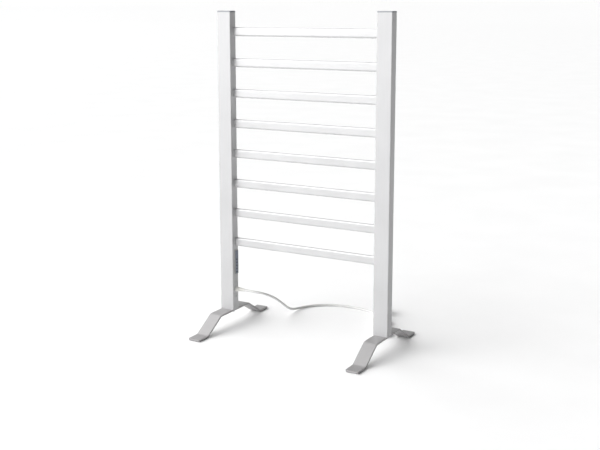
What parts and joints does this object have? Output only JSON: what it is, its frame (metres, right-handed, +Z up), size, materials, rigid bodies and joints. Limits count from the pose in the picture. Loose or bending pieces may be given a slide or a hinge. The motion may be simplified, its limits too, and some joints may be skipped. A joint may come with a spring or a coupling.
{
  "type": "towel warmer rack",
  "caption": "Free-standing electric towel warmer rack with horizontal heated rungs between two posts on arched feet, with a control panel, push button, mains cord and plug.",
  "frame": {"origin": "on the floor, midway between the two posts and midway along the feet", "axes": "+X along the rungs from the post with the control panel to the plain post, -Y the front, +Z up"},
  "size_m": [0.53, 0.5256, 0.9],
  "materials": {
    "satin_aluminium": "satin anodised",
    "cap_plastic": "fine matte",
    "foot_steel": "satin silver paint",
    "pad_rubber": "matte",
    "screw_steel": "zinc plated",
    "cast_aluminium": "machined",
    "inner_plastic": "moulded",
    "heater_silicone": "smooth silicone",
    "crimp_brass": "tinned",
    "lead_insulation": "smooth",
    "bezel_plastic": "fine matte",
    "fascia_plastic": "semi gloss",
    "button_plastic": "fine matte",
    "lens_plastic": "gloss",
    "led_plastic": "gloss",
    "board_laminate": "satin solder mask",
    "relay_plastic": "gloss",
    "cord_pvc": "satin",
    "boot_pvc": "satin",
    "plug_plastic": "fine matte",
    "pin_metal": "nickel plated",
    "tie_plastic": "fine matte"
  },
  "bodies": {
    "rack": {"left_post": "satin_aluminium", "right_post": "satin_aluminium", "left_top_cap": "cap_plastic", "right_top_cap": "cap_plastic", "left_foot": "foot_steel", "right_foot": "foot_steel", "foot_pads": "pad_rubber", "foot_bolts": "screw_steel", "foot_washers": "screw_steel", "left_bottom_plug": "cast_aluminium", "right_bottom_plug": "cast_aluminium", "rung_end_plugs": "inner_plastic", "rung_screws": "screw_steel", "heating_cable": "heater_silicone", "heater_splices": "crimp_brass", "heater_leads": "lead_insulation", "thermal_fuse": "inner_plastic", "panel_bezel": "bezel_plastic", "panel_fascia": "fascia_plastic", "button_switch": "inner_plastic", "indicator_lenses": "lens_plastic", "indicator_leds": "led_plastic", "control_board": "board_laminate", "board_relay": "relay_plastic", "strain_relief": "boot_pvc", "cord_clamp": "inner_plastic", "clamp_screws": "screw_steel", "cord_tail": "cord_pvc", "cord_cores": "lead_insulation", "terminal_block": "inner_plastic", "board_leads": "lead_insulation", "earth_screw": "screw_steel", "earth_lead": "lead_insulation", "power_cord": "cord_pvc", "cord_hank": "cord_pvc", "plug_lead": "cord_pvc", "hank_tie": "tie_plastic", "plug_boot": "plug_plastic", "plug_body": "plug_plastic", "plug_pins": "pin_metal", "plug_earth_contacts": "pin_metal", "rung_1": "satin_aluminium", "rung_2": "satin_aluminium", "rung_3": "satin_aluminium", "rung_4": "satin_aluminium", "rung_5": "satin_aluminium", "rung_6": "satin_aluminium", "rung_7": "satin_aluminium", "rung_8": "satin_aluminium"},
    "button": {"power_button": "button_plastic"}
  },
  "joints": [
    {"name": "button_press", "type": "slide", "parent": "rack", "child": "button", "axis": [-1, 0, 0], "range_m": [0, 0.0008], "stiffness_N_per_m": 600, "springref_m": -0.0004}
  ]
}
